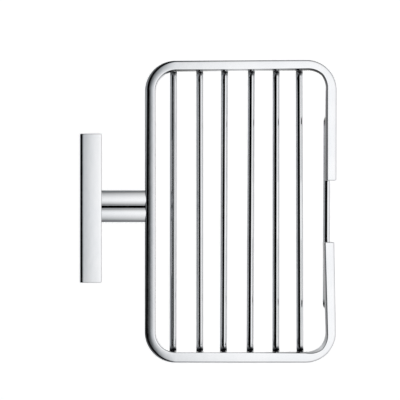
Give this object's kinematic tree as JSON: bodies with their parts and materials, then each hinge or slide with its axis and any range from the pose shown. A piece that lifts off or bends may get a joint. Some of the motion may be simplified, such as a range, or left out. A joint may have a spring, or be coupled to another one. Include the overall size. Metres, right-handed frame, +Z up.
{
  "type": "wall-mounted soap basket",
  "caption": "Chromed wall-mounted soap basket: an open rounded ring frame over bent drain rods, held by rounded stem bars on a rectangular wall bar that hides its mounting plate.",
  "frame": {"origin": "centre of the wall plate's back face, which lies on the wall", "axes": "+Y into the wall, so the basket reaches towards -Y; +X along the wall and the wall bar; +Z up"},
  "size_m": [0.2, 0.1696, 0.0424],
  "materials": {
    "bright_chrome": "mirror-bright chrome plate on brass",
    "zinc_plated_steel": "zinc plate",
    "stainless_steel": "plain turned stainless steel"
  },
  "bodies": {
    "plate": {"wall_plate": "zinc_plated_steel"},
    "basket": {"wall_bar": "bright_chrome", "stem_bar_left": "bright_chrome", "stem_bar_right": "bright_chrome", "stem_screw_left": "stainless_steel", "stem_screw_right": "stainless_steel", "stem_washer_left": "stainless_steel", "stem_washer_right": "stainless_steel", "ring_stud_left": "stainless_steel", "ring_stud_right": "stainless_steel", "ring_frame": "bright_chrome", "cradle_rod_1": "bright_chrome", "cradle_rod_2": "bright_chrome", "cradle_rod_3": "bright_chrome", "cradle_rod_4": "bright_chrome", "cradle_rod_5": "bright_chrome", "cradle_rod_6": "bright_chrome", "front_rod": "bright_chrome"},
    "left_set_screw": {"set_screw_left": "stainless_steel"},
    "right_set_screw": {"set_screw_right": "stainless_steel"}
  },
  "joints": [
    {"name": "basket_pull_off", "type": "slide", "parent": "plate", "child": "basket", "axis": [0, -1, 0], "range_m": [0, 0.012]},
    {"name": "left_set_screw_out", "type": "slide", "parent": "basket", "child": "left_set_screw", "axis": [0, 0, -1], "range_m": [0, 0.002]},
    {"name": "right_set_screw_out", "type": "slide", "parent": "basket", "child": "right_set_screw", "axis": [0, 0, -1], "range_m": [0, 0.002]}
  ]
}
